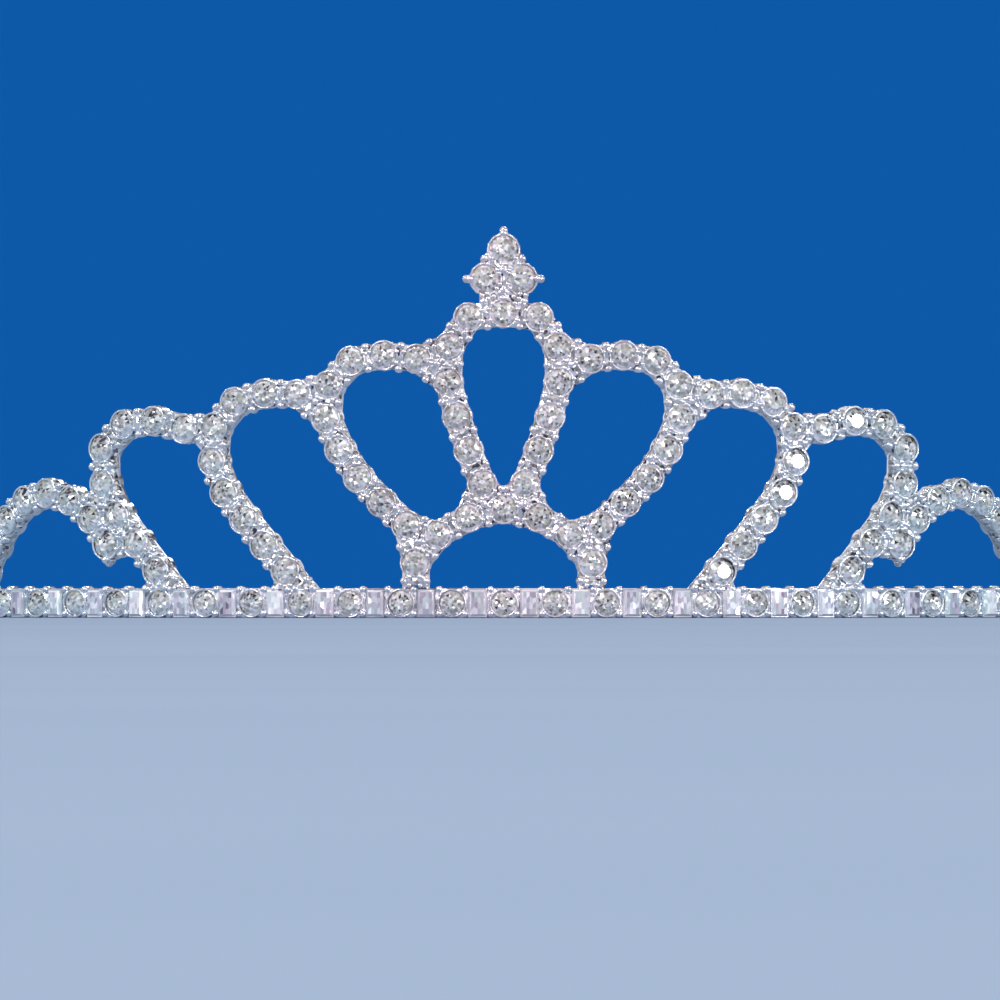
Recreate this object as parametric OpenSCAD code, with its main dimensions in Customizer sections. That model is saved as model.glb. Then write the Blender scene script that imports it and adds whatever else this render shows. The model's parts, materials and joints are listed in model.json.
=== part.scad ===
// Rhinestone crown: a springy head ring that carries a wall of looped strands of cut stones.
// Z is up, the jewelled front faces -Y, and the crown stands on its rail and its two ball tips.
// Places on the wall are [s, z]: s runs round the stones' faces from the middle of the front,
// and z is the height above the surface that the crown stands on.

/* [Head ring] */
// Radius from the ring's axis to the middle of the front rail
ring_r = 76; // [74:0.5:80]
// Half of the angle that the rail covers round the front
rail_half_angle = 52.5; // [52:0.1:53]
// Height of the flat rail behind the band's stones
rail_h = 3.3; // [3.2:0.1:3.6]
// Thickness of the rail from front to back
rail_t = 0.8; // [0.7:0.1:1]
// Diameter of the round wire of the legs
leg_d = 1.5; // [1.3:0.1:1.6]
// Radius of the bend of each leg at the middle of its wire
leg_bend_r = 68; // [64:1:72]
// Heading round the ring at which the left leg's bend ends
left_bend_end = 134; // [120:1:136]
// Length of the left leg's straight end
left_straight = 57; // [30:1:58]
// Heading round the ring at which the right leg's bend ends
right_bend_end = 124; // [115:1:130]
// Length of the right leg's straight end
right_straight = 49; // [30:1:50]

/* [Round stones] */
// Diameter of the stones in the loops
loop_stone_d = 2.75; // [2.6:0.05:2.8]
// Diameter of the three peak stones and the two end stones
main_stone_d = 3.05; // [2.9:0.05:3.1]
// Diameter of the round stones in the band
band_stone_d = 2.6; // [2.4:0.05:2.65]
// Gap all round between a stone and its seat
stone_gap = 0.1; // [0.1:0.01:0.12]
// Wall of a cup round its seat
cup_wall = 0.175; // [0.15:0.005:0.18]
// Depth of a cup from its back to its rim
cup_h = 2; // [1.9:0.1:2.2]
// Thickness of a cup's floor
cup_floor = 0.8; // [0.8:0.05:1]
// Diameter of the little balls on the peak and under the end stones
bead_d = 0.9; // [0.8:0.1:1.2]

/* [Band] */
// Distance from one round band stone to the next
band_pitch = 5.755; // [5.7:0.005:5.8]
// Number of round band stones on each side of the middle one
band_side_count = 12; // [10:1:12]
// Width of an upright baguette
baguette_w = 1.5; // [1.3:0.1:1.5]
// Height of an upright baguette
baguette_h = 2.55; // [2.2:0.05:2.55]
// Wall of a baguette's box setting round its seat
box_wall = 0.2; // [0.15:0.01:0.2]

/* [Strands] */
// Width of the flat strip that joins two neighbouring cups of a strand
strip_w = 2; // [1.4:0.1:2]
// Width of the narrow strips that tie one strand to the next
tie_w = 1; // [0.8:0.1:1.2]
// Thickness of both kinds of strip
strip_t = 0.6; // [0.5:0.05:0.6]

/* [Hidden] */
$fn = 48;
STRAND_NODES = [
  for (strand = ["inner_loop_stones", "middle_loop_stones", "outer_loop_stones", "end_arch_stones"])
    for (side = ["_left", "_right"]) str(strand, side)
];

metal_colour = "silver";
crystal_colour = "aliceblue";
baguette_colour = "lightsteelblue";

// Levels outwards from a cup's back, which lies in the middle of the rail's thickness
seat_floor_gap = 0.1;
culet_level = cup_floor + seat_floor_gap;
girdle_level = cup_h - 0.1;
table_level = cup_h + 0.5;
strip_back_level = (cup_floor - strip_t) / 2;
bead_level = cup_h * 0.6;

// How much shorter a strip is than the way between its cups' middles, its round ends left out
strip_short = 1;

// How far a bead's middle stands out from the edge of its cup
bead_stand = 0.35;

// Radius of a round stone's table as a share of its diameter
table_share = 0.28;

// A baguette's steps, as rows of [inset from its full width and height, level]
baguette_steps = [
  [0.36, culet_level],
  [0, girdle_level - 0.3],
  [0.15, girdle_level + 0.1],
  [0.42, table_level - 0.15]
];

// Radius at which s is measured, and the ring's middle, set so that the crown's box is centred
face_r = ring_r + cup_h;
front_y = -(ring_r + table_level);

// The legs start behind the rail, this far in front of its end and this far inside its middle
leg_start = rail_half_angle - 4.5;
leg_line_r = ring_r - 0.5;
leg_overlap = 0.5;
leg_step = 0.1;
tip_d = rail_h;
bend_centre = (leg_line_r - leg_bend_r) * heading(leg_start);
left_tip_y = tip_place(left_bend_end, left_straight).y;
right_tip_y = tip_place(right_bend_end, right_straight).y;
back_y = max(left_tip_y, right_tip_y) + tip_d / 2;
ring_y = -(front_y + back_y) / 2;

// Strands as rows of [s, z] for the right side, from the strand's first stone to its foot
centre_loop_path = [[0, 33.9], [4.1, 33.3], [6.3, 29.4], [6, 25.2], [4.1, 19.1], [2.4, 14.9]];
low_arch_path = [[0, 12.1], [3.9, 11.2], [7.7, 9], [9.9, 6.1]];
inner_loop_path = [
  [9.7, 28.8], [13.3, 29.2], [17, 28.7], [19.8, 25.8], [19.9, 21.6], [16.4, 15.6], [10.9, 10.3]
];
middle_loop_path = [
  [23.4, 24.9], [27.2, 25], [31, 24], [33.6, 20.7], [33.2, 15.8], [29.9, 11.1], [24.8, 5.2]
];
outer_loop_path = [
  [37.2, 21.1], [41.3, 22], [45.4, 21.5], [48.3, 18.5], [47.4, 13.4], [43.6, 8.5], [40.8, 5.3]
];
end_arch_path = [
  [47.5, 8.3], [50.1, 11.4], [53.6, 13.5], [57.3, 13.9], [60.8, 12.5], [64, 9.4], [66.9, 5.2]
];
path_steps = 12;

centre_loop = spaced(centre_loop_path, 7);
low_arch = spaced(low_arch_path, 4);
inner_loop = spaced(inner_loop_path, 9);
middle_loop = spaced(middle_loop_path, 9);
outer_loop = spaced(outer_loop_path, 8);
end_arch = spaced(end_arch_path, 8);
end_stone = end_arch[0];
peak_top = [0, 40.95];
peak_side = [2, 37.7];

// The ties on the right side, as rows of [from, to]; a foot is tied to a cup of the band
side_ties = [
  [low_arch[3], band_round_place(2)],
  [inner_loop[0], centre_loop[2]],
  [inner_loop[0], centre_loop[3]],
  [inner_loop[8], low_arch[2]],
  [inner_loop[8], low_arch[3]],
  [middle_loop[0], inner_loop[3]],
  [middle_loop[0], inner_loop[4]],
  [middle_loop[8], band_round_place(4)],
  [outer_loop[0], middle_loop[3]],
  [outer_loop[0], middle_loop[4]],
  [outer_loop[7], band_round_place(7)],
  [end_stone, outer_loop[5]],
  [end_stone, outer_loop[6]],
  [end_arch[7], band_round_place(12)],
  [centre_loop[6], low_arch[0]],
  [peak_top, peak_side],
  [peak_side, centre_loop[0]]
];

// Direction from the ring's axis at an angle from the middle of the front
function heading(angle) = [sin(angle), -cos(angle)];

// Angle round the ring at a distance round the stones' faces
function wall_angle(s) = s / face_r * 180 / PI;

function bend_place(angle) = bend_centre + leg_bend_r * heading(angle);
function tip_place(bend_end, straight) = bend_place(bend_end) + straight * [cos(bend_end), sin(bend_end)];

function band_round_place(k) = [k * band_pitch, rail_h / 2];

function mirrored(places, side) = [for (p = places) [side * p.x, p.y]];
function without_first(places) = [for (i = [1:len(places) - 1]) places[i]];

// A smooth curve through a path's rows, and places at equal distances along it
function row_or_past_end(rows, i) =
  let (last = len(rows) - 1)
  i < 0 ? 2 * rows[0] - rows[1] : i > last ? 2 * rows[last] - rows[last - 1] : rows[i];

function between_rows(a, b, c, d, t) =
  b + (c - a) * t / 2 + (2 * a - 5 * b + 4 * c - d) * t * t / 2 + (3 * b - a - 3 * c + d) * t * t * t / 2;

function smooth_curve(rows) = [
  for (i = [0:len(rows) - 2]) for (k = [0:path_steps - (i == len(rows) - 2 ? 0 : 1)])
    between_rows(
      row_or_past_end(rows, i - 1), rows[i], rows[i + 1], row_or_past_end(rows, i + 2), k / path_steps
    )
];

function distances(curve) = [
  for (i = 0, total = 0; i < len(curve);
    total = total + (i + 1 < len(curve) ? norm(curve[i + 1] - curve[i]) : 0), i = i + 1) total
];

function place_along(curve, marks, distance) =
  let (i = max([for (k = [0:len(curve) - 2]) if (marks[k] <= distance) k]))
  curve[i] + (curve[i + 1] - curve[i]) * (distance - marks[i]) / (marks[i + 1] - marks[i]);

function spaced(rows, count) =
  let (curve = smooth_curve(rows), marks = distances(curve), total = marks[len(marks) - 1])
  [for (k = [0:count - 1]) place_along(curve, marks, total * k / (count - 1))];

// A place on the wall: X runs round it, Y up it and Z outwards from the cups' backs
module on_wall(place) {
  translate([0, ring_y, place.y]) rotate([0, 0, wall_angle(place.x)])
    translate([0, -ring_r, 0]) rotate([90, 0, 0]) children();
}

// A cup with a flat-bottomed seat, for a round stone
module cup(stone_d) {
  seat_d = stone_d + 2 * stone_gap;
  difference() {
    cylinder(d = seat_d + 2 * cup_wall, h = cup_h);
    translate([0, 0, cup_floor]) cylinder(d = seat_d, h = cup_h);
  }
}

// A box with a straight-sided seat, for a baguette
module baguette_box() {
  seat = [baguette_w + 2 * stone_gap, baguette_h + 2 * stone_gap];
  difference() {
    translate([-seat.x / 2 - box_wall, -seat.y / 2 - box_wall, 0])
      cube([seat.x + 2 * box_wall, seat.y + 2 * box_wall, cup_h]);
    translate([-seat.x / 2, -seat.y / 2, cup_floor]) cube([seat.x, seat.y, cup_h]);
  }
}

// A flat strip that ends inside the floors of two cups, short of their middles
module strip(from, to, width) {
  step = [2 * ring_r * sin(wall_angle(to.x - from.x) / 2), to.y - from.y];
  size = norm(step) - strip_short - width / 2;
  on_wall((from + to) / 2) rotate([0, 0, atan2(step.y, step.x)])
    translate([-size / 2, -width / 2, strip_back_level]) cube([size, width, strip_t]);
}

// A little ball that stands on the edge of a main stone's cup
module bead(place, direction) {
  reach = main_stone_d / 2 + stone_gap + cup_wall + bead_stand;
  on_wall(place) rotate([0, 0, direction]) translate([reach, 0, bead_level]) sphere(d = bead_d);
}

module cups(places, stone_d) {
  for (place = places) on_wall(place) cup(stone_d);
}

module strips(places) {
  for (i = [1:len(places) - 1]) strip(places[i - 1], places[i], strip_w);
}

// The metal of one strand: its cups and the strips between them
module strand_metal(places, skipped) {
  cups([for (i = [skipped:len(places) - 1]) places[i]], loop_stone_d);
  strips(places);
}

module ties(side) {
  for (row = side_ties) strip([side * row[0].x, row[0].y], [side * row[1].x, row[1].y], tie_w);
}

module rail() {
  translate([0, ring_y, 0]) rotate([0, 0, -90 - rail_half_angle])
    rotate_extrude(angle = 2 * rail_half_angle) translate([ring_r - rail_t / 2, 0]) square([rail_t, rail_h]);
}

module band_settings() {
  for (k = [-band_side_count:band_side_count]) on_wall(band_round_place(k)) cup(band_stone_d);
  for (k = [-band_side_count:band_side_count - 1]) on_wall(band_round_place(k + 0.5)) baguette_box();
}

// A wire leg: its bend, its slightly thinner straight end and its ball tip
module leg(bend_end, straight) {
  along = [cos(bend_end), sin(bend_end)];
  straight_start = bend_place(bend_end) - leg_overlap * along;
  tip = tip_place(bend_end, straight);
  translate([0, ring_y, rail_h / 2]) {
    translate([bend_centre.x, bend_centre.y, 0]) rotate([0, 0, leg_start - 90])
      rotate_extrude(angle = bend_end - leg_start) translate([leg_bend_r, 0]) circle(d = leg_d);
    translate([straight_start.x, straight_start.y, 0]) rotate([0, 0, bend_end]) rotate([0, 90, 0])
      cylinder(d = leg_d - leg_step, h = straight + leg_overlap);
    translate([tip.x, tip.y, 0]) sphere(d = tip_d);
  }
}

module side_metal(side) {
  strand_metal(mirrored(inner_loop, side), 0);
  strand_metal(mirrored(middle_loop, side), 0);
  strand_metal(mirrored(outer_loop, side), 0);
  strand_metal(mirrored(end_arch, side), 1);
  strand_metal(mirrored(centre_loop, side), 1);
  strand_metal(mirrored(low_arch, side), 1);
  ties(side);
}

module crown_frame() {
  color(metal_colour) {
    union() {
      rail();
      band_settings();
    }
    leg(right_bend_end, right_straight);
    mirror([1, 0, 0]) leg(left_bend_end, left_straight);
    for (side = [-1, 1]) union() {
      side_metal(side);
      cups([[side * peak_side.x, peak_side.y], [side * end_stone.x, end_stone.y]], main_stone_d);
      bead([side * peak_side.x, peak_side.y], 90 - side * 90);
      bead([side * end_stone.x, end_stone.y], -90);
    }
    cups([centre_loop[0], low_arch[0]], loop_stone_d);
    cups([peak_top], main_stone_d);
    strip(peak_side, [-peak_side.x, peak_side.y], tie_w);
    bead(peak_top, 90);
  }
}

// A round stone: an eight-sided table, 24 crown facets down to a 16-sided girdle, and a point behind
module round_stone(d) {
  table_ring = [for (i = [0:7]) [table_share * d * cos(45 * i), table_share * d * sin(45 * i), table_level]];
  girdle_ring = [for (i = [0:15]) [d / 2 * cos(22.5 * i), d / 2 * sin(22.5 * i), girdle_level]];
  table_face = [for (i = [0:7]) 7 - i];
  star_faces = [for (i = [0:7]) [i, (i + 1) % 8, 8 + 2 * i + 1]];
  first_faces = [for (i = [0:7]) [i, 8 + 2 * i + 1, 8 + 2 * i]];
  second_faces = [for (i = [0:7]) [(i + 1) % 8, 8 + (2 * i + 2) % 16, 8 + 2 * i + 1]];
  back_faces = [for (i = [0:15]) [8 + i, 8 + (i + 1) % 16, 24]];
  polyhedron(
    points = concat(table_ring, girdle_ring, [[0, 0, culet_level]]),
    faces = concat([table_face], star_faces, first_faces, second_faces, back_faces)
  );
}

// A baguette: rectangles joined from its back to its table
module baguette() {
  half = [baguette_w, baguette_h] / 2;
  corners = [[-1, -1], [1, -1], [1, 1], [-1, 1]];
  rings = [
    for (row = baguette_steps) for (c = corners) [c.x * (half.x - row[0]), c.y * (half.y - row[0]), row[1]]
  ];
  side_faces = [
    for (r = [0:len(baguette_steps) - 2]) for (i = [0:3])
      [4 * r + i, 4 * (r + 1) + i, 4 * (r + 1) + (i + 1) % 4, 4 * r + (i + 1) % 4]
  ];
  last = 4 * (len(baguette_steps) - 1);
  back_face = [0, 1, 2, 3];
  table_face = [last + 3, last + 2, last + 1, last];
  polyhedron(points = rings, faces = concat([back_face], side_faces, [table_face]));
}

module stones(places, stone_d) {
  color(crystal_colour) for (place = places) on_wall(place) round_stone(stone_d);
}

module strand_stones(places, side) {
  stones(mirrored(places, side), loop_stone_d);
}

module peak_stone(place) {
  stones([place], main_stone_d);
}

module end_stone(side) {
  stones([[side * end_stone.x, end_stone.y]], main_stone_d);
}

// A strand that crosses the middle of the front: its first stone once, and the rest on both sides
module middle_strand_stones(places) {
  rest = without_first(places);
  stones(concat([places[0]], rest, mirrored(rest, -1)), loop_stone_d);
}

module band_round_stones() {
  stones([for (k = [-band_side_count:band_side_count]) band_round_place(k)], band_stone_d);
}

module band_baguettes() {
  color(baguette_colour) for (k = [-band_side_count:band_side_count - 1])
    on_wall(band_round_place(k + 0.5)) baguette();
}

crown_frame();
peak_stone(peak_top);  // peak_stone_top
peak_stone([-peak_side.x, peak_side.y]);  // peak_stone_left
peak_stone(peak_side);  // peak_stone_right
end_stone(-1);  // end_stone_left
end_stone(1);  // end_stone_right
middle_strand_stones(centre_loop);  // centre_loop_stones
middle_strand_stones(low_arch);  // low_arch_stones
strand_stones(inner_loop, -1);  // inner_loop_stones_left
strand_stones(inner_loop, 1);  // inner_loop_stones_right
strand_stones(middle_loop, -1);  // middle_loop_stones_left
strand_stones(middle_loop, 1);  // middle_loop_stones_right
strand_stones(outer_loop, -1);  // outer_loop_stones_left
strand_stones(outer_loop, 1);  // outer_loop_stones_right
strand_stones(without_first(end_arch), -1);  // end_arch_stones_left
strand_stones(without_first(end_arch), 1);  // end_arch_stones_right
band_round_stones();
band_baguettes();
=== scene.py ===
import json
import math

import bpy
from mathutils import Matrix, Vector


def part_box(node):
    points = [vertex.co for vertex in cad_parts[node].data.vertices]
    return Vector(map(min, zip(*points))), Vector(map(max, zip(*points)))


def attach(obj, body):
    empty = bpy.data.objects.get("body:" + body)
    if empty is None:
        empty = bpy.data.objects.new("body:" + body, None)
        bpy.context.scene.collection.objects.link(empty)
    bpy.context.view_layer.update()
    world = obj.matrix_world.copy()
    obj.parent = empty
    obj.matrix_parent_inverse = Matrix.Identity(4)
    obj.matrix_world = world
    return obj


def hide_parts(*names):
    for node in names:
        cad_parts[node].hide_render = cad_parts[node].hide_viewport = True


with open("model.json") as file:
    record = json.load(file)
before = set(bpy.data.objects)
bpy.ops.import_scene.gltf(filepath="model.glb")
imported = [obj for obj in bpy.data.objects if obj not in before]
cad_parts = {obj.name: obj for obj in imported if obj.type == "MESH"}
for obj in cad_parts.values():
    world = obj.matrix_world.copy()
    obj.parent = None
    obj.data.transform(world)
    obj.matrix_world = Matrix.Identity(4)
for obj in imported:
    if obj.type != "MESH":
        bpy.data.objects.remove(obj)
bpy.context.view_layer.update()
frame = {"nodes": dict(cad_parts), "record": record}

# Camera.
# The photo looks up at the crown's front through a long lens. Here the crown stands on a floor,
# so the camera stands as low as it can, just above that floor, and looks up a little.
MM = 0.001
PHOTO_WIDTH = 1000
PHOTO_PIXELS_PER_MM = 9.0
PHOTO_CROWN_MIDDLE_X = 503.6
PHOTO_CROWN_FOOT_Y = 618
CAMERA_DISTANCE = 2000 * MM
CAMERA_HEIGHT = 3.2 * MM
FILM_WIDTH = 36

front_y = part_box("band_round_stones")[0].y
aim_height = (PHOTO_CROWN_FOOT_Y - PHOTO_WIDTH / 2) / PHOTO_PIXELS_PER_MM * MM
aim_side = (PHOTO_WIDTH / 2 - PHOTO_CROWN_MIDDLE_X) / PHOTO_PIXELS_PER_MM * MM
camera_data = bpy.data.cameras.new("Camera")
camera_data.sensor_width = FILM_WIDTH
camera_data.lens = PHOTO_PIXELS_PER_MM * (CAMERA_DISTANCE / MM) * FILM_WIDTH / PHOTO_WIDTH
camera = bpy.data.objects.new("Camera", camera_data)
camera.location = (aim_side, front_y - CAMERA_DISTANCE, CAMERA_HEIGHT)
camera_aim = Vector((aim_side, front_y, aim_height))
camera.rotation_euler = (camera_aim - camera.location).to_track_quat("-Z", "Y").to_euler()
bpy.context.scene.collection.objects.link(camera)
bpy.context.scene.camera = camera
bpy.context.scene.view_settings.view_transform = "Standard"


# Floor.
# A plain painted board, pale blue, on which the crown stands.
# The helpers here add nodes to a tree and make meshes, and every later section uses them.
class Flow:
    """A value on its way through a node tree. A sum, difference or product adds a Math node."""

    def __init__(self, tree, socket):
        self.tree = tree
        self.socket = socket

    def of(self, output):
        """Another output of the node that this value comes from."""
        return Flow(self.tree, self.socket.node.outputs[output])

    def maths(self, operation, first, second):
        """The result of a Math node on two values."""
        return node(self.tree, "ShaderNodeMath", {"operation": operation}, {0: first, 1: second})

    def __add__(self, other):
        return self.maths("ADD", self, other)

    def __radd__(self, other):
        return self.maths("ADD", other, self)

    def __sub__(self, other):
        return self.maths("SUBTRACT", self, other)

    def __rsub__(self, other):
        return self.maths("SUBTRACT", other, self)

    def __mul__(self, other):
        return self.maths("MULTIPLY", self, other)

    def __rmul__(self, other):
        return self.maths("MULTIPLY", other, self)


def set_sockets(tree, inputs, values):
    """Gives a node's sockets their values and links."""
    for name, value in values.items():
        if isinstance(value, Flow):
            tree.links.new(value.socket, inputs[name])
        else:
            inputs[name].default_value = value


def node(tree, kind, settings=None, sockets=None, output=0):
    """Adds a node: its settings come first, then the values and links of its sockets."""
    made = tree.nodes.new(kind)
    for name, value in (settings or {}).items():
        if name == "stops":
            while len(made.color_ramp.elements) < len(value):
                made.color_ramp.elements.new(1)
            for element, (position, colour) in zip(made.color_ramp.elements, value):
                element.position = position
                element.color = (*colour, 1)
        elif name == "interpolation":
            made.color_ramp.interpolation = value
        else:
            setattr(made, name, value)
    set_sockets(tree, made.inputs, sockets or {})
    return Flow(tree, made.outputs[output]) if made.outputs else made


def new_finish(name):
    """A material whose tree holds only its output and a Principled shader, ready for sockets."""
    finish = bpy.data.materials.new(name)
    finish.use_nodes = True
    return finish, finish.node_tree, finish.node_tree.nodes["Principled BSDF"].inputs


def noise(tree, place, scale, detail, roughness=0.5):
    """Soft clouds by chance, as many to a metre as the scale says."""
    return node(
        tree,
        "ShaderNodeTexNoise",
        None,
        {"Vector": place, "Scale": scale, "Detail": detail, "Roughness": roughness},
    )


def new_piece(name, verts, faces, finish):
    """A mesh object in one finish."""
    mesh = bpy.data.meshes.new(name)
    mesh.from_pydata([tuple(v) for v in verts], [], faces)
    mesh.validate()
    mesh.materials.append(finish)
    piece = bpy.data.objects.new(name, mesh)
    bpy.context.scene.collection.objects.link(piece)
    return piece


def turned(radius, level, sides, turn=0.0):
    """A row of a turned shape: a ring of corners round Z."""
    angles = [2 * math.pi * (k + turn) / sides for k in range(sides)]
    return [(radius * math.cos(a), radius * math.sin(a), level) for a in angles]


FLOOR_RADIUS = 9000 * MM
FLOOR_SIDES = 48
FLOOR_TONES = [(0.3, (0.33, 0.42, 0.56)), (0.7, (0.35, 0.44, 0.58))]
FLOOR_CLOUD_SIZE = 170 * MM

paint, paint_tree, paint_inputs = new_finish("Pale blue board paint")
paint_place = node(paint_tree, "ShaderNodeTexCoord", output="Object")
paint_clouds = noise(paint_tree, paint_place, 1 / FLOOR_CLOUD_SIZE, detail=3.0)
paint_colour = node(paint_tree, "ShaderNodeValToRGB", {"stops": FLOOR_TONES}, {0: paint_clouds})
paint_values = {"Base Color": paint_colour, "Roughness": 0.7, "Specular IOR Level": 0.0}
set_sockets(paint_tree, paint_inputs, paint_values)
floor = new_piece("floor", turned(FLOOR_RADIUS, 0, FLOOR_SIDES), [tuple(range(FLOOR_SIDES))], paint)

# Studio light.
# Large soft panels far off light the crown evenly, and a few small bright lamps give it points
# of light. The flash lamp stands where four of the stones throw its light at the camera.
# Each row: name, place in metres, width in metres, power in watts.
FLASH_LAMP = (2.93, -2.64, 0.7)
LAMPS = [
    ("Key panel", (-2.7, -3.6, 3.3), 1.5, 102),
    ("Fill panel", (3.3, -3.0, 2.1), 1.8, 31),
    ("Back panel", (1.5, 3.6, 2.7), 1.5, 36),
    ("Flash lamp", FLASH_LAMP, 0.3, 20),
    ("Left lamp", (-2.25, -3.9, 0.9), 0.18, 6),
    ("High lamp", (0.75, -3.6, 2.7), 0.18, 6),
    ("Far left lamp", (-3.9, -1.2, 1.5), 0.18, 6),
    ("Far right lamp", (4.2, -0.6, 1.35), 0.18, 6),
    ("Rear lamp", (-1.8, 3.6, 1.8), 0.18, 6),
]
LAMP_AIM = Vector((0, -0.05, 0.02))
for name, place, width, power in LAMPS:
    lamp_data = bpy.data.lights.new(name, "AREA")
    lamp_data.shape = "DISK"
    lamp_data.size = width
    lamp_data.energy = power
    lamp = bpy.data.objects.new(name, lamp_data)
    lamp.location = place
    lamp.rotation_euler = (LAMP_AIM - Vector(place)).to_track_quat("-Z", "Y").to_euler()
    lamp.visible_camera = False
    bpy.context.scene.collection.objects.link(lamp)

# Studio room.
# What shines on the crown from the room round it: pale walls, and above them a ceiling with
# darker gaps. The camera itself sees one plain blue behind the crown.
ROOM_PATCH_SCALE = 2.2
WALL_TOP = 0.2
WALL_LIFT = 0.2
BACKGROUND_BLUE = (0.004, 0.1, 0.39)
ROOM_TONES = [
    (0.42, (0.04, 0.04, 0.05)),
    (0.5, (0.4, 0.4, 0.43)),
    (0.58, (1.0, 0.99, 1.02)),
]
room = bpy.data.worlds.new("Studio room")
room.use_nodes = True
room_tree = room.node_tree
direction = node(room_tree, "ShaderNodeTexCoord", output="Generated")
patches = noise(room_tree, direction, ROOM_PATCH_SCALE, detail=1.0)
height = node(room_tree, "ShaderNodeSeparateXYZ", None, {0: direction}, output="Z")
from_level = node(room_tree, "ShaderNodeMath", {"operation": "ABSOLUTE"}, {0: height})
off_walls = node(room_tree, "ShaderNodeMapRange", None, {"Value": from_level, "From Max": WALL_TOP})
paler = patches + WALL_LIFT * (1 - off_walls)
walls = node(room_tree, "ShaderNodeValToRGB", {"stops": ROOM_TONES}, {0: paler})
seen = node(room_tree, "ShaderNodeLightPath", output="Is Camera Ray")
room_colour = node(
    room_tree,
    "ShaderNodeMix",
    {"data_type": "RGBA"},
    {0: seen, 6: walls, 7: (*BACKGROUND_BLUE, 1)},
    output=2,
)
room_tree.links.new(room_colour.socket, room_tree.nodes["Background"].inputs["Color"])
bpy.context.scene.world = room

# Crown frame.
# The cast and soldered metal: rail, cups, box settings, strips between them and the wire legs.
# It is silver-coloured plating over brass, bright but not quite even after polishing by hand.
PLATING_TONES = [(0.3, (0.84, 0.82, 0.84)), (0.65, (0.97, 0.95, 0.97))]
BACK_TONES = [(0.36, (0.6, 0.58, 0.61)), (0.58, (0.89, 0.87, 0.89))]
# Painted light: the crown's middle is tinted rosy and its ends cool, as coloured light falls on them.
PAINTED_MIDDLE_LIGHT_TINT = (1.0, 0.945, 0.965)
PAINTED_END_LIGHT_TINT = (0.83, 0.94, 0.98)
WALL_HALF_WIDTH = 62 * MM
PLATING_CLOUD_SIZE = 5 * MM
CLOUD_ROUGHNESS = 0.18
CASTING_GRAIN_SIZE = 0.5 * MM
CASTING_WAVE_SIZE = 1.4 * MM
POLISHING_LINES = (60, 60, 5000)


def outward_share(tree, place):
    """How far out from the crown's middle plane a point is: 0 there and 1 at the wall's ends."""
    sideways = node(tree, "ShaderNodeSeparateXYZ", None, {0: place}, output="X")
    outwards = node(tree, "ShaderNodeMath", {"operation": "ABSOLUTE"}, {0: sideways})
    return outwards * (1 / WALL_HALF_WIDTH)


def painted_light_tinted(tree, place, colour):
    """A colour with painted tinted light on it: a little rosy at the crown's middle and cooler towards its
    ends.
    """
    tint = node(
        tree,
        "ShaderNodeMix",
        {"data_type": "RGBA"},
        {0: outward_share(tree, place), 6: (*PAINTED_MIDDLE_LIGHT_TINT, 1), 7: (*PAINTED_END_LIGHT_TINT, 1)},
        output=2,
    )
    return node(
        tree,
        "ShaderNodeMix",
        {"data_type": "RGBA", "blend_type": "MULTIPLY"},
        {0: 1.0, 6: colour, 7: tint},
        output=2,
    )


def silver_plating(name, tones, roughness, grain_height, wave_height=0.0, line_height=0.0):
    """Bright plating, clouded a little, over the grain and waves that casting leaves, and over
    the level lines of the polishing wheel."""
    finish, tree, inputs = new_finish(name)
    place = node(tree, "ShaderNodeTexCoord", output="Object")
    line_place = node(tree, "ShaderNodeVectorMath", {"operation": "MULTIPLY"}, {0: place, 1: POLISHING_LINES})
    clouds = noise(tree, place, 1 / PLATING_CLOUD_SIZE, detail=4.0, roughness=0.6)
    grain = noise(tree, place, 1 / CASTING_GRAIN_SIZE, detail=2.0)
    waves = noise(tree, place, 1 / CASTING_WAVE_SIZE, detail=0.0)
    lines = noise(tree, line_place, 1.0, detail=2.0)
    colour = node(tree, "ShaderNodeValToRGB", {"stops": tones}, {0: clouds})
    height = grain * grain_height + waves * wave_height + lines * line_height
    bump = node(tree, "ShaderNodeBump", None, {"Height": height, "Distance": 1.0, "Strength": 1.0})
    values = {
        "Base Color": painted_light_tinted(tree, place, colour),
        "Metallic": 1.0,
        "Roughness": roughness + clouds * CLOUD_ROUGHNESS,
        "Normal": bump,
    }
    set_sockets(tree, inputs, values)
    return finish


polished_plating = silver_plating(
    "Polished silver plating",
    BACK_TONES,
    roughness=0.12,
    grain_height=0.008 * MM,
    wave_height=0.05 * MM,
    line_height=0.012 * MM,
)
cast_plating = silver_plating("Cast silver plating", PLATING_TONES, roughness=0.1, grain_height=0.04 * MM)
back_plating = silver_plating(
    "Satin silver plating", BACK_TONES, roughness=0.2, grain_height=0.02 * MM, wave_height=0.14 * MM
)
crown_frame = frame["nodes"]["crown_frame"]
for slot in crown_frame.material_slots:
    slot.material = polished_plating

# Seats.
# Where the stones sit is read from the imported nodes, so that every piece below lies in its cup.
# A seat is the middle of a stone's table. A node tree sets a copy of a pattern piece at each one.
CORNER_DIGITS = 6
SEAT_DIGITS = 5
FACET_DROP = 1.5 * MM
SEAT_TONE_STEP = 3
FACET_TILT_STEP = 7
UNSTRETCHED = (1, 1, 1)
ring_middle = Vector(next(m for m in frame["record"]["mounts"] if m["name"] == "head_seat")["pos_m"])


def wall_axes(place):
    """Round the wall, up it and out of it, as the columns of a turn."""
    out = Vector((place.x - ring_middle.x, place.y - ring_middle.y, 0)).normalized()
    up = Vector((0, 0, 1))
    return Matrix((up.cross(out), up, out)).transposed()


def shifted(place, axes, along=0.0, across=0.0, out=0.0):
    """A place moved by these lengths along the columns of a turn."""
    return place + axes @ Vector((along, across, out))


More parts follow.
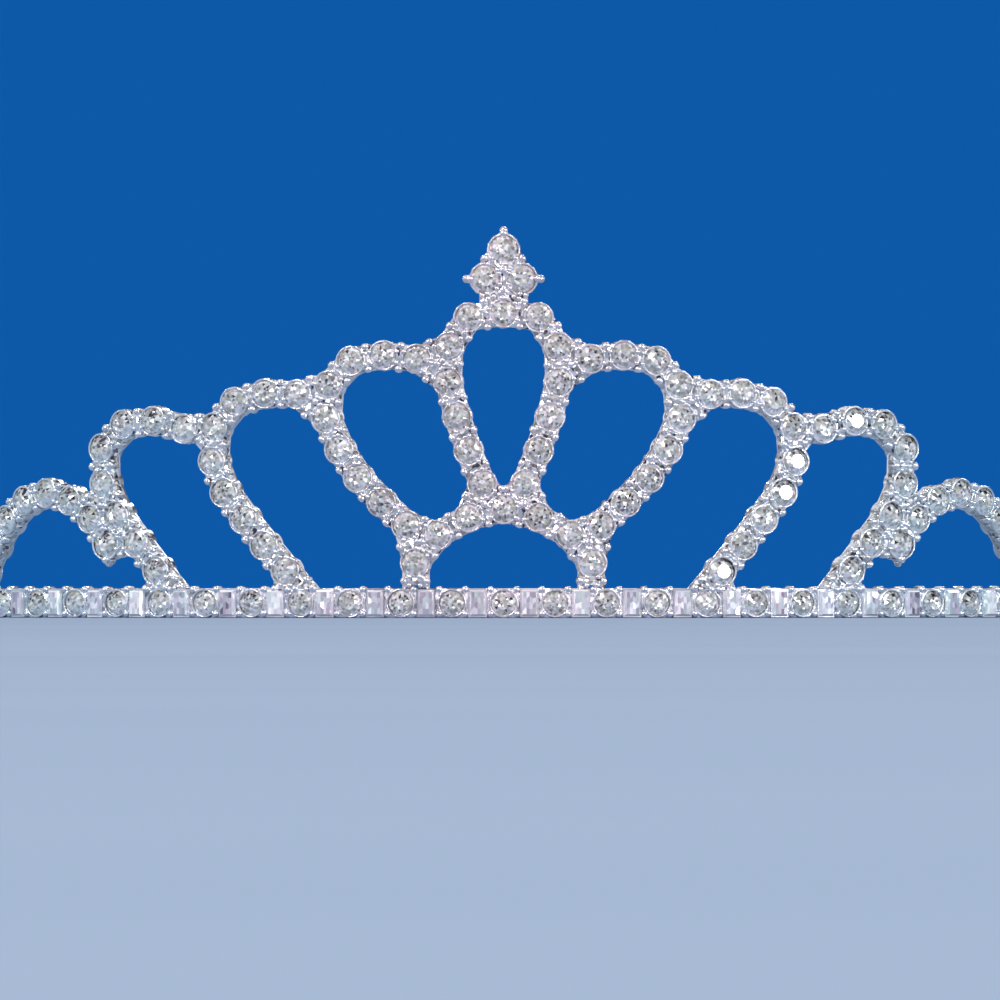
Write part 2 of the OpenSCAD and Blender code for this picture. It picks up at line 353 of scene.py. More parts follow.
def seats(node_name):
    """The middle of each loose stone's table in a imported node."""
    mesh = frame["nodes"][node_name].data
    corners = [tuple(round(c, CORNER_DIGITS) for c in v.co) for v in mesh.vertices]
    group = {corner: corner for corner in corners}

    def head(corner):
        while group[corner] != corner:
            corner = group[corner]
        return corner

    for face in mesh.polygons:
        first = head(corners[face.vertices[0]])
        for index in face.vertices[1:]:
            group[head(corners[index])] = first
    stones = {}
    for corner in group:
        stones.setdefault(head(corner), []).append(Vector(corner))
    found = []
    for stone in stones.values():
        middle = sum(stone, Vector()) / len(stone)
        out = wall_axes(middle).col[2]
        reach = max(corner.dot(out) for corner in stone)
        found.append(middle + out * (reach - middle.dot(out)))
    return sorted(found, key=lambda place: (round(place.x, SEAT_DIGITS), round(place.z, SEAT_DIGITS)))


LOOP_NODES = [
    "centre_loop_stones",
    "low_arch_stones",
    "inner_loop_stones_left",
    "inner_loop_stones_right",
    "middle_loop_stones_left",
    "middle_loop_stones_right",
    "outer_loop_stones_left",
    "outer_loop_stones_right",
    "end_arch_stones_left",
    "end_arch_stones_right",
]
MAIN_NODES = ["peak_stone_top", "peak_stone_left", "peak_stone_right", "end_stone_left", "end_stone_right"]
loop_seats = {name: seats(name) for name in LOOP_NODES}
main_seats = {name: seats(name) for name in MAIN_NODES}
band_seats = seats("band_round_stones")
baguette_seats = seats("band_baguettes")
all_loop_seats = [place for places in loop_seats.values() for place in places]
all_main_seats = [place for places in main_seats.values() for place in places]
wall_seats = all_loop_seats + all_main_seats


def stored(geometry, name, value, domain="FACE", kind="FLOAT"):
    """A geometry that also carries this value, on its points or its faces, for a material."""
    return node(
        geometry.tree,
        "GeometryNodeStoreNamedAttribute",
        {"data_type": kind, "domain": domain},
        {"Geometry": geometry, "Name": name, "Value": value},
    )


def new_setting_tree():
    """Sets a copy of a pattern piece at every point, turned and leaned a little by chance."""
    tree = bpy.data.node_groups.new("Set pieces at seats", "GeometryNodeTree")
    sockets = [
        ("Points", "NodeSocketGeometry", None),
        ("Pattern", "NodeSocketObject", None),
        ("Size", "NodeSocketFloat", 1.0),
        ("Spin", "NodeSocketFloat", 0.0),
        ("Lean", "NodeSocketFloat", 0.0),
        ("Seed", "NodeSocketInt", 1),
        ("Finish", "NodeSocketMaterial", None),
    ]
    for name, kind, value in sockets:
        socket = tree.interface.new_socket(name, in_out="INPUT", socket_type=kind)
        if value is not None:
            socket.default_value = value
    tree.interface.new_socket("Pieces", in_out="OUTPUT", socket_type="NodeSocketGeometry")
    given = node(tree, "NodeGroupInput")
    seed, spin, lean = given.of("Seed"), given.of("Spin"), given.of("Lean")
    vector = {"data_type": "FLOAT_VECTOR"}
    most = node(tree, "ShaderNodeCombineXYZ", None, {"X": lean, "Y": lean, "Z": spin})
    least = node(tree, "ShaderNodeVectorMath", {"operation": "SCALE"}, {0: most, "Scale": -1.0})
    chance = node(tree, "FunctionNodeRandomValue", vector, {"Min": least, "Max": most, "Seed": seed})
    chance_turn = node(tree, "FunctionNodeEulerToRotation", None, {0: chance})
    turn = node(tree, "GeometryNodeInputNamedAttribute", vector, {"Name": "turn"})
    seat_turn = node(tree, "FunctionNodeEulerToRotation", None, {0: turn})
    whole_turn = node(
        tree,
        "FunctionNodeRotateRotation",
        {"rotation_space": "LOCAL"},
        {"Rotation": seat_turn, "Rotate By": chance_turn},
    )
    stretch = node(tree, "GeometryNodeInputNamedAttribute", vector, {"Name": "stretch"})
    size = node(
        tree, "ShaderNodeVectorMath", {"operation": "SCALE"}, {0: stretch, "Scale": given.of("Size")}
    )
    pattern = node(
        tree, "GeometryNodeObjectInfo", None, {"Object": given.of("Pattern")}, output="Geometry"
    )
    number = {"data_type": "FLOAT"}
    seat_tone = node(tree, "FunctionNodeRandomValue", number, {"Seed": seed + SEAT_TONE_STEP}, output=1)
    points = stored(given.of("Points"), "seat_tone", seat_tone, domain="POINT")
    at = node(tree, "GeometryNodeInputPosition")
    points = stored(points, "seat", at, domain="POINT", kind="FLOAT_VECTOR")
    set_down = node(
        tree,
        "GeometryNodeInstanceOnPoints",
        None,
        {"Points": points, "Instance": pattern, "Rotation": whole_turn, "Scale": size},
    )
    pieces = node(tree, "GeometryNodeRealizeInstances", None, {0: set_down})
    tone = node(tree, "FunctionNodeRandomValue", number, {"Seed": seed}, output=1)
    pieces = stored(pieces, "facet_tone", tone)
    tilt = node(
        tree,
        "FunctionNodeRandomValue",
        vector,
        {"Min": (-1, -1, -1), "Max": (1, 1, 1), "Seed": seed + FACET_TILT_STEP},
    )
    pieces = stored(pieces, "facet_tilt", tilt, kind="FLOAT_VECTOR")
    seat = node(tree, "GeometryNodeInputNamedAttribute", vector, {"Name": "seat"})
    from_facet = node(tree, "ShaderNodeVectorMath", {"operation": "SUBTRACT"}, {0: seat, 1: at})
    down = node(tree, "ShaderNodeSeparateXYZ", None, {0: from_facet}, output="Z")
    pieces = stored(pieces, "below_seat", down * (1 / FACET_DROP))
    finished = node(
        tree, "GeometryNodeSetMaterial", None, {"Geometry": pieces, "Material": given.of("Finish")}
    )
    node(tree, "NodeGroupOutput", None, {0: finished})
    return tree


setting_tree = new_setting_tree()


def set_pieces(name, places, pattern, finish, **sizes):
    """One piece that holds a copy of the pattern at each place: a point, its axes and a stretch.
    The sizes go to the tree's inputs of the same names. Patterns are drawn in millimetres or in
    radii, and Size brings them to metres."""
    points = bpy.data.meshes.new(name + "_points")
    points.from_pydata([tuple(place[0]) for place in places], [], [])
    turns = points.attributes.new("turn", "FLOAT_VECTOR", "POINT")
    stretches = points.attributes.new("stretch", "FLOAT_VECTOR", "POINT")
    for i, (_, axes, stretch) in enumerate(places):
        turns.data[i].vector = axes.to_euler()
        stretches.data[i].vector = stretch
    holder = bpy.data.objects.new(name + "_points", points)
    bpy.context.scene.collection.objects.link(holder)
    modifier = holder.modifiers.new("Set pieces", "NODES")
    modifier.node_group = setting_tree
    given = {"Pattern": pattern, "Finish": finish, **sizes}
    for item in setting_tree.interface.items_tree:
        if item.in_out == "INPUT" and item.name in given:
            modifier[item.identifier] = given[item.name]
    evaluated = holder.evaluated_get(bpy.context.evaluated_depsgraph_get())
    mesh = bpy.data.meshes.new_from_object(evaluated)
    mesh.name = name
    bpy.data.objects.remove(holder)
    piece = bpy.data.objects.new(name, mesh)
    bpy.context.scene.collection.objects.link(piece)
    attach(piece, "root")
    return piece


def at_seats(places):
    """Rows for set_pieces: each place with the wall's axes there."""
    return [(place, wall_axes(place), UNSTRETCHED) for place in places]


def skin(name, rows, finish, closed_round=False):
    """A closed skin over rows of corners. The last row joins the first, or flat ends close it."""
    width = len(rows[0])
    verts = [corner for row in rows for corner in row]
    faces = []
    for r in range(len(rows) if closed_round else len(rows) - 1):
        here, there = r * width, (r + 1) % len(rows) * width
        for k in range(width):
            after = (k + 1) % width
            faces.append((here + k, here + after, there + after, there + k))
    if not closed_round:
        faces.append(tuple(range(width - 1, -1, -1)))
        faces.append(tuple(range(len(verts) - width, len(verts))))
    return new_piece(name, verts, faces, finish)


def drop(pattern):
    """Takes a pattern piece away once its copies are set."""
    bpy.data.objects.remove(pattern)


# Saddles between the cups.
# Cast metal fills the space between neighbouring cups, as wide as the stones, and makes a loop
# one thick strand. More of it carries the loops on the band, at a slant where a strand slants.
# Its face is cut with small bright facets that sparkle as the stones do: their tilts give real reflections,
# and their tones are painted reflection.
BRIGHT_CUT_SIZE = 0.42 * MM
LOOP_CUT_SLOPE = 0.7
PALE_CUT_SLOPE = 0.35
# Painted reflection: the tones of the cuts, from near-black to white.
LOOP_CUT_PAINTED_REFLECTION_TONES = [
    (0.0, (0.1, 0.08, 0.1)),
    (0.1, (0.48, 0.47, 0.46)),
    (0.36, (0.74, 0.73, 0.71)),
    (0.66, (0.95, 0.94, 0.95)),
]
# Painted highlight: a paler copy of the cut tones, for cuts that are drawn lit white.
PALE_CUT_PAINTED_HIGHLIGHT_TONES = [
    (0.0, (0.5, 0.47, 0.5)),
    (0.14, (0.82, 0.8, 0.82)),
    (0.42, (1.0, 0.97, 1.0)),
]
LONGEST_JOINT = 4.45 * MM
FOOT_STONES_UNDER = 6.5 * MM
SLANTED_STRANDS = [
    "middle_loop_stones_left",
    "middle_loop_stones_right",
    "outer_loop_stones_left",
    "outer_loop_stones_right",
]
USUAL_JOINT = 4.0
SLANTED_JOINT = 4.7
CUP_RADIUS = 1.65
SINK_IN_CUP = 0.08
SADDLE_HALF_WIDTH = 1.45
SADDLE_ROWS = 8
SADDLE_EDGE_DROP = 0.45
SADDLE_EDGE_POWER = 4
SADDLE_RIDGE_SHARE = 0.25
SADDLE_BACK_LIFT = 0.25
SADDLE_BACK_POWER = 6
CUT_LAYER = (-1.95, -0.55)
BACK_LAYER = (-2.46, -1.9)


def leaned_normal(tree, surface, tilt, steepness):
    """The surface's own normal leaned by a tilt, for a flat cut or facet that isn't in the mesh."""
    own = node(tree, "ShaderNodeNewGeometry", output=surface)
    slope = node(tree, "ShaderNodeVectorMath", {"operation": "SCALE"}, {0: tilt, "Scale": steepness})
    leaned = node(tree, "ShaderNodeVectorMath", {"operation": "ADD"}, {0: own, 1: slope})
    return node(tree, "ShaderNodeVectorMath", {"operation": "NORMALIZE"}, {0: leaned})


def bright_cut_plating(name, tones, steepness):
    """Plating over a ground of small flat cuts, each with its own tilt and its own tone of painted
    reflection.
    """
    finish, tree, inputs = new_finish(name)
    place = node(tree, "ShaderNodeTexCoord", output="Object")
    cuts = node(
        tree, "ShaderNodeTexVoronoi", None, {"Vector": place, "Scale": 1 / BRIGHT_CUT_SIZE}, output="Color"
    )
    tone = node(tree, "ShaderNodeSeparateColor", None, {0: cuts}, output="Red")
    shade = node(tree, "ShaderNodeValToRGB", {"stops": tones, "interpolation": "CONSTANT"}, {0: tone})
    tilt = node(tree, "ShaderNodeVectorMath", {"operation": "SUBTRACT"}, {0: cuts, 1: (0.5, 0.5, 0.5)})
    values = {
        "Base Color": painted_light_tinted(tree, place, shade),
        "Metallic": 0.8,
        "Roughness": 0.2,
        "Normal": leaned_normal(tree, "Normal", tilt, steepness),
    }
    set_sockets(tree, inputs, values)
    return finish


bright_cut = bright_cut_plating("Bright-cut silver plating", LOOP_CUT_PAINTED_REFLECTION_TONES, LOOP_CUT_SLOPE)


def joint_between(first, second):
    """The middle of a joint, its axes along, across and out, and its length."""
    span = second - first
    middle = (first + second) / 2
    out = wall_axes(middle).col[2]
    across = out.cross(span).normalized()
    return middle, Matrix((across.cross(out), across, out)).transposed(), span.length


joints = [
    joint_between(first, second)
    for i, first in enumerate(wall_seats)
    for second in wall_seats[i + 1 :]
    if (second - first).length < LONGEST_JOINT
]
foot_seats = [place for place in wall_seats if place.z < FOOT_STONES_UNDER]
below = Vector((0, 0, -USUAL_JOINT * MM))
joints += [joint_between(place, place + below) for place in foot_seats]
slanted_feet = []
for node_name in SLANTED_STRANDS:
    lowest, above = sorted(loop_seats[node_name], key=lambda place: place.z)[:2]
    heading = (lowest - above).normalized()
    slanted_feet.append(joint_between(lowest, lowest + heading * SLANTED_JOINT * MM))
joints += slanted_feet


def saddle_pattern(name, layer, edge_drop, back_lift, finish):
    """A block whose ends are hollowed to fit the cups, its face or its back rounded at the edges."""
    bottom, top = layer
    rows = []
    for i in range(SADDLE_ROWS + 1):
        y = SADDLE_HALF_WIDTH * (2 * i / SADDLE_ROWS - 1)
        half = USUAL_JOINT / 2 - math.sqrt(CUP_RADIUS**2 - y**2) + SINK_IN_CUP
        face = top - edge_drop * (y / SADDLE_HALF_WIDTH) ** SADDLE_EDGE_POWER
        back = bottom + back_lift * (y / SADDLE_HALF_WIDTH) ** SADDLE_BACK_POWER
        ridge = face + edge_drop * SADDLE_RIDGE_SHARE
        rows.append([(-half, y, face), (0, y, ridge), (half, y, face), (half, y, back), (-half, y, back)])
    return skin(name, rows, finish)


saddle_places = [(middle, axes, (length / MM / USUAL_JOINT, 1, 1)) for middle, axes, length in joints]
for name, layer, edge_drop, back_lift, finish in (
    ("saddles", CUT_LAYER, SADDLE_EDGE_DROP, 0.0, bright_cut),
    ("saddle_backs", BACK_LAYER, 0.0, SADDLE_BACK_LIFT, back_plating),
):
    saddle = saddle_pattern("saddle", layer, edge_drop, back_lift, finish)
    saddles = set_pieces(name, saddle_places, saddle, finish, Size=MM)
    drop(saddle)

# Neck of the peak.
# A solid plate joins the two lower stones of the peak to the top of the centre loop.
# The stones' cups stand on it, and its straight sides are the peak's narrowest place.
NECK_HALF_WIDTH = 2.7
NECK_BELOW_PEAK = (6.9, 4.4)
NECK_FACE = [(-1.0, -1.1), (-0.93, -0.85), (-0.5, -0.72), (0.5, -0.72), (0.93, -0.85), (1.0, -1.1)]
NECK_BACK = [(-1.0, -1.9), (1.0, -1.9), (1.0, -2.2), (0.9, -2.46), (-0.9, -2.46), (-1.0, -2.2)]
peak_top = main_seats["peak_stone_top"][0]
peak_axes = wall_axes(peak_top)


def neck_plate(name, section, finish):
    """A plate up the wall, from its section as shares of the half width and levels in mm."""
    rows = [
        [
            shifted(peak_top, peak_axes, side * NECK_HALF_WIDTH * MM, -down * MM, level * MM)
            for side, level in section
        ]
        for down in NECK_BELOW_PEAK
    ]
    plate = skin(name, rows[::-1], finish)
    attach(plate, "root")


neck_plate("peak_neck", NECK_FACE + [(1.0, CUT_LAYER[0]), (-1.0, CUT_LAYER[0])], bright_cut)
neck_plate("peak_neck_back", NECK_BACK, back_plating)

# Claws between the stones.
# Round-headed posts stand at both edges of every saddle, and four smaller claws between them
# are pressed over the edges of the two stones. One more ends each slanted foot on the band.
EDGE_CLAW = 1.28 * MM
EDGE_CLAW_SIZE = 0.37 * MM
EDGE_CLAW_STRETCH = (1.25, 1.0, 1.0)
PRESSED_CLAW_ACROSS = 0.62 * MM
PRESSED_CLAW_LEAST = 0.2 * MM
PRESSED_CLAW_SIZE = 0.29 * MM
CLAW_TOP_DOWN = 0.3 * MM
CLAW_HEAD = [(1.0, -3.4), (1.0, -0.6), (0.94, -0.3), (0.74, -0.02), (0.4, 0.14), (0.04, 0.2)]
CLAW_SIDES = 8
CLEAR_OF_STONE = 1.72 * MM
PRESSED_CLEAR_OF_STONE = 1.5 * MM
CLEAR_OF_BAND = 1.62 * MM
LOWEST_CLAW = 3.1 * MM
FOOT_CLAW_ALONG = 1.2 * MM
FOOT_CLAW_ACROSS = 1.25 * MM
# Each neck claw stands this many millimetres to both sides of the top seat, and below it.
NECK_CLAWS = [(2.4, 5.75), (2.4, 5.1), (1.75, 5.45), (1.1, 5.2), (0.4, 4.75), (0.0, 4.25)]
BALL_CLAW = 1.78 * MM
BALL_CLAW_SIZE = 0.46 * MM
# Which way each ball stands off its stone: along the wall and up it.
BALL_SIDES = [
    ("peak_stone_top", 0, 1),
    ("peak_stone_left", -1, 0),
    ("peak_stone_right", 1, 0),
    ("end_stone_left", 0, -1),
    ("end_stone_right", 0, -1),
]
CLAW_SPIN = 0.3
LOOP_CLAW_LEAN = 0.12
claw = skin("claw", [turned(radius, level, CLAW_SIDES) for radius, level in CLAW_HEAD], cast_plating)
claw.data.shade_smooth()


def clear_of_stones(place, distance):
    """Whether a claw at this place stands beside the stones and above the band, not on them."""
    on_wall = place.z > LOWEST_CLAW and all((place - seat).length > distance for seat in wall_seats)
    return on_wall and all((place - seat).length > CLEAR_OF_BAND for seat in band_seats)


edge_claws, pressed_claws = [], []
for middle, axes, length in joints:
    for side in (-1, 1):
        place = shifted(middle, axes, across=side * EDGE_CLAW, out=-CLAW_TOP_DOWN)
        edge_claws.append((place, axes, EDGE_CLAW_STRETCH))
        reach = math.sqrt((CUP_RADIUS * MM) ** 2 - PRESSED_CLAW_ACROSS**2)
        along = max(length / 2 - reach, PRESSED_CLAW_LEAST)
        for end in (-1, 1):
            place = shifted(middle, axes, end * along, side * PRESSED_CLAW_ACROSS, -CLAW_TOP_DOWN)
            pressed_claws.append((place, axes, UNSTRETCHED))
for middle, axes, _ in slanted_feet:
    for side in (-1, 1):
        place = shifted(middle, axes, FOOT_CLAW_ALONG, side * FOOT_CLAW_ACROSS, -CLAW_TOP_DOWN)
        edge_claws.append((place, axes, EDGE_CLAW_STRETCH))
for across, down in NECK_CLAWS:
    for side in (-1, 1):
        place = shifted(peak_top, peak_axes, side * across * MM, -down * MM, -CLAW_TOP_DOWN)
        pressed_claws.append((place, peak_axes, UNSTRETCHED))
edge_claws = [place for place in edge_claws if clear_of_stones(place[0], CLEAR_OF_STONE)]
pressed_claws = [place for place in pressed_claws if clear_of_stones(place[0], PRESSED_CLEAR_OF_STONE)]
ball_claws = []
for node_name, along, up in BALL_SIDES:
    seat = main_seats[node_name][0]
    axes = wall_axes(seat)
    place = shifted(seat, axes, along * BALL_CLAW, up * BALL_CLAW, -CLAW_TOP_DOWN)
    ball_claws.append((place, axes, UNSTRETCHED))
for name, places, size, seed in (
    ("loop_edge_claws", edge_claws, EDGE_CLAW_SIZE, 3),
    ("loop_pressed_claws", pressed_claws, PRESSED_CLAW_SIZE, 4),
    ("ball_claws", ball_claws, BALL_CLAW_SIZE, 9),
):
    claws = set_pieces(
        name, places, claw, cast_plating, Size=size, Spin=CLAW_SPIN, Lean=LOOP_CLAW_LEAN, Seed=seed
    )

# Solder at the legs.
# Each wire leg lies along the back of the rail's end, in a smooth fillet of solder that covers
# its cut end and thins out above and below the wire.
LEG_START_HEADING = math.radians(49.7)
LEG_LINE_RADIUS = 75.45 * MM
LEG_LEVEL = 1.65 * MM
SOLDER_REACH = (3.1 * MM, 1.3 * MM, 0.85 * MM)
SOLDER_FULLNESS = 0.7
SOLDER_ROWS = 10
SOLDER_SIDES = 16


def solder_fillet(name, side):
    """A drop of solder at one end of the rail, pointed along the rail and round across it."""
    along, up, out = SOLDER_REACH
    heading = Vector((side * math.sin(LEG_START_HEADING), -math.cos(LEG_START_HEADING), 0))
    middle = Vector((ring_middle.x, ring_middle.y, LEG_LEVEL)) + heading * LEG_LINE_RADIUS
    axes = wall_axes(middle)
    rows = []
    for i in range(1, SOLDER_ROWS):
        turn = math.pi * i / SOLDER_ROWS
        share = math.sin(turn) ** SOLDER_FULLNESS
        rows.append(
            [
                shifted(middle, axes, -math.cos(turn) * along, y * share * up, z * share * out)
                for y, z, _ in turned(1, 0, SOLDER_SIDES)
            ]
        )
    fillet = skin(name, rows, polished_plating)
    fillet.data.shade_smooth()
    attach(fillet, "root")


solder_fillet("leg_solder_left", -1)
solder_fillet("leg_solder_right", 1)

# Webs and claws of the band.
# A web fills the space between a round stone's cup and the box beside it. It is narrow at
# mid height and spreads to a foot below and above, with a round-headed claw on each end.
WEB_HOLLOW_RADIUS = 1.5
WEB_OUTER = 1.87
WEB_INNER_LEAST = 0.5
WEB_HALF_HEIGHT = 1.6
WEB_TOP = -0.45
WEB_BOTTOM = -1.75
WEB_SIDE_DROP = 0.2
WEB_END_DROP = 0.2
WEB_END_POWER = 6
WEB_ROWS = 10
BAND_CLAW_SIDE = 1.45 * MM
BAND_CLAW_UP = 1.52 * MM
BAND_CLAW_DOWN = 1.18 * MM
BAND_CLAW_SIZE = 0.39 * MM
BAND_CLAW_LEAN = 0.04

web_rows = []
for i in range(WEB_ROWS + 1):
    y = WEB_HALF_HEIGHT * (2 * i / WEB_ROWS - 1)
    inner = max(math.sqrt(max(WEB_HOLLOW_RADIUS**2 - y**2, 0)), WEB_INNER_LEAST)
    middle = (inner + WEB_OUTER) / 2
    top = WEB_TOP - WEB_END_DROP * (y / WEB_HALF_HEIGHT) ** WEB_END_POWER
    web_rows.append(
        [
            (inner, y, top - WEB_SIDE_DROP),
            (middle, y, top),
            (WEB_OUTER, y, top - WEB_SIDE_DROP),
            (WEB_OUTER, y, WEB_BOTTOM),
            (inner, y, WEB_BOTTOM),
        ]
    )
# Painted highlight: the webs and some rims use this paler, lit copy of the bright-cut plating.
painted_highlight_cut = bright_cut_plating("Bright-cut plating with painted highlight", PALE_CUT_PAINTED_HIGHLIGHT_TONES, PALE_CUT_SLOPE)
web = skin("web", web_rows, painted_highlight_cut)
half_turn = Matrix.Rotation(math.pi, 3, "Z")
web_places, band_claws = [], []
for place in band_seats:
    axes = wall_axes(place)
    web_places += [(place, axes, UNSTRETCHED), (place, axes @ half_turn, UNSTRETCHED)]
    for side in (-1, 1):
        for rise in (BAND_CLAW_UP, -BAND_CLAW_DOWN):
            claw_place = shifted(place, axes, side * BAND_CLAW_SIDE, rise, -CLAW_TOP_DOWN)
            band_claws.append((claw_place, axes, UNSTRETCHED))
webs = set_pieces("band_webs", web_places, web, painted_highlight_cut, Size=MM)
drop(web)
band_claw_piece = set_pieces(
    "band_claws",
    band_claws,
    claw,
    cast_plating,
    Size=BAND_CLAW_SIZE,
    Spin=CLAW_SPIN,
    Lean=BAND_CLAW_LEAN,
    Seed=5,
)
drop(claw)

# Cup rims.
# The top of each cup is pressed in over its stone, which leaves a thin rounded lip round it.
# The lips of the crown's middle are cut bright, in a paler copy of the cut plating with painted highlight,
# and the others are plain and polished.
RIM_SECTION = [(1.5, -0.9), (1.54, -0.5), (1.61, -0.42), (1.69, -0.52), (1.69, -0.9)]
RIM_SIDES = 20
RIM_LEAN = 0.01
MAIN_CUP_RADIUS = 1.8
BAND_CUP_RADIUS = 1.575
MAIN_CUP_SIZE = MAIN_CUP_RADIUS / CUP_RADIUS * MM
BAND_CUP_SIZE = BAND_CUP_RADIUS / CUP_RADIUS * MM


def upright(section, angle):
    """A section of radii and levels as corners, turned round Z to an angle."""
    return [(radius * math.cos(angle), radius * math.sin(angle), level) for radius, level in section]


rim_rows = [upright(RIM_SECTION, 2 * math.pi * k / RIM_SIDES) for k in range(RIM_SIDES)]
rim = skin("rim", rim_rows, cast_plating, closed_round=True)
middle_seats = loop_seats["centre_loop_stones"] + loop_seats["low_arch_stones"]
side_seats = [place for place in all_loop_seats if place not in middle_seats]
for name, places, size, finish in (
    ("middle_cup_rims", middle_seats, MM, painted_highlight_cut),
    ("side_cup_rims", side_seats, MM, cast_plating),
    ("main_cup_rims", all_main_seats, MAIN_CUP_SIZE, painted_highlight_cut),
    ("band_cup_rims", band_seats, BAND_CUP_SIZE, cast_plating),
):
    rims = set_pieces(name, at_seats(places), rim, finish, Size=size, Lean=RIM_LEAN, Seed=8)
    rims.data.shade_smooth()
drop(rim)

# Ribs of the cups.
# Fine upright ribs are cast round the outside of each cup of the wall, below its lip.
# They show where the wall turns away, on the inner sides of the strands.
RIB_COUNT = 12
RIB_CORNERS = 48
RIB_ROOT = 1.56
RIB_VALLEY = 1.62
RIB_CREST = 1.74
RIB_LEVELS = [(-0.72, 0.3), (-0.9, 1.0), (-1.8, 1.0), (-1.98, 0.4)]
RIB_INNER_WALL = [(1.5, -1.98), (1.5, -0.72)]
RIB_SPIN = 0.2
rib_rows = []
for k in range(RIB_CORNERS):
    angle = 2 * math.pi * k / RIB_CORNERS
    crest = RIB_VALLEY + (RIB_CREST - RIB_VALLEY) * (1 + math.cos(RIB_COUNT * angle)) / 2
    outer_wall = [(RIB_ROOT + (crest - RIB_ROOT) * share, level) for level, share in RIB_LEVELS]
    rib_rows.append(upright(RIB_INNER_WALL + outer_wall, angle))
ribs_pattern = skin("ribs_pattern", rib_rows, bright_cut, closed_round=True)
for name, places, size in (
    ("loop_cup_ribs", all_loop_seats, MM),
    ("main_cup_ribs", all_main_seats, MAIN_CUP_SIZE),
):
    ribs = set_pieces(name, at_seats(places), ribs_pattern, bright_cut, Size=size, Spin=RIB_SPIN, Seed=12)
drop(ribs_pattern)

# Cup backs.
# Behind each stone the cup ends in a shallow dome, as a stone's cup is pressed from sheet.
# The domes show from behind and from above.
DOME_RINGS = [(0.1, -0.36), (0.5, -0.32), (0.82, -0.2), (0.97, -0.02), (1.0, 0.3)]
DOME_SIDES = 16
DOME_SIZE = 1.45 * MM
CUP_BACK_BEHIND_TABLE = 2.5 * MM
dome = skin("dome", [turned(radius, level, DOME_SIDES) for radius, level in DOME_RINGS], back_plating)
dome.data.shade_smooth()
dome_places = [
    (shifted(place, axes, out=-CUP_BACK_BEHIND_TABLE), axes, stretch)
    for place, axes, stretch in at_seats(wall_seats)
]
cup_backs = set_pieces("cup_backs", dome_places, dome, back_plating, Size=DOME_SIZE, Seed=6)
drop(dome)

# Round stones.
# Machine-cut glass with a foil back, held in its cup by the rim and the claws. The foil throws the light out
# again through the facets; here each stone's colour is a painted reflection of it, a mosaic of white, grey
# and near-black patches under a clear surface, whose coat and tilted facets add real reflections.
STAR_SIDES = 8
RING_SIDES = 16
STAR_SHARE = 0.32
TABLE_SHARE = 0.52
WAIST_SHARE = 0.78
WAIST_DROP_SHARE = 0.92
CROWN_HEIGHT_SHARE = 0.42
BACK_DEPTH_SHARE = 0.7
# Painted reflection: the tones of the foil mosaic, from near-black to white.
FOIL_PAINTED_REFLECTION_TONES = [
    (0.0, (0.03, 0.015, 0.04)),
    (0.06, (0.25, 0.23, 0.24)),
    (0.17, (0.5, 0.49, 0.44)),
    (0.4, (0.68, 0.67, 0.63)),
    (0.7, (0.94, 0.93, 0.94)),
]
# Painted light: the outer facets are drawn lighter, against the shade that the rim casts over them.
OUTER_FACET_PAINTED_LIGHT = 0.14
# Painted fire: each facet's tilt tints its colour a little, for coloured glints.
PAINTED_FIRE_TINT = 0.08
# Painted highlight: how much lighter the lower half of a stone is drawn towards the crown's ends.
PAINTED_LOWER_HIGHLIGHT = 0.5
ROUND_FACET_SLOPE = 0.3
ROUND_SEAT_SHARE = 0.12
WALL_RADIUS = 78 * MM


def foil_backed_glass(name, tones, facet_slope, seat_share, painted_lower_highlight):
    """Foil mosaic under a clear coat. Each facet has its own tone and tilt, each stone its own tone,
    and some facets a painted light of their own. The mosaic's tones are painted reflection, over the
    real reflections of the coat and the tilted facets, and the tilt adds a painted tint of fire.
    Where the wall turns away, a stone's lower half has a painted highlight."""
    finish, tree, inputs = new_finish(name)
    place = node(tree, "ShaderNodeTexCoord", output="Object")
    tone = node(tree, "ShaderNodeAttribute", {"attribute_name": "facet_tone"}, output="Fac")
    tilt = node(tree, "ShaderNodeAttribute", {"attribute_name": "facet_tilt"}, output="Vector")
    seat_tone = node(tree, "ShaderNodeAttribute", {"attribute_name": "seat_tone"}, output="Fac")
    drop_share = node(tree, "ShaderNodeAttribute", {"attribute_name": "below_seat"}, output="Fac")
    # Painted highlight on the lower half of each stone, stronger towards the crown's ends.
    painted_lower_light = drop_share * outward_share(tree, place) * painted_lower_highlight
    # Painted light on some facets: the outer facets of round stones and the bevels of baguettes.
    facet_glow = node(tree, "ShaderNodeAttribute", {"attribute_name": "facet_glow"}, output="Fac")
    whole_tone = tone * (1 - seat_share) + seat_tone * seat_share + painted_lower_light + facet_glow
    shade = node(tree, "ShaderNodeValToRGB", {"stops": tones, "interpolation": "CONSTANT"}, {0: whole_tone})
    # Painted fire: a small tint of each facet's colour from its tilt.
    painted_fire = node(tree, "ShaderNodeVectorMath", {"operation": "SCALE"}, {0: tilt, "Scale": PAINTED_FIRE_TINT})
    with_painted_fire = node(tree, "ShaderNodeVectorMath", {"operation": "MULTIPLY_ADD"}, {0: painted_fire, 1: shade, 2: shade})
    values = {
        "Base Color": painted_light_tinted(tree, place, with_painted_fire),
        "Metallic": 0.5,
        "Roughness": 0.18,
        "Normal": leaned_normal(tree, "True Normal", tilt, facet_slope),
        "Coat Weight": 1.0,
        "Coat Roughness": 0.02,
        "Coat IOR": 1.6,
    }
    set_sockets(tree, inputs, values)
    return finish


def set_facet_painted_light(pattern, painted_lights):
    """Gives each face of a stone's pattern its own painted light, a lift of its tone."""
    attribute = pattern.data.attributes.new("facet_glow", "FLOAT", "FACE")
    attribute.data.foreach_set("value", painted_lights)


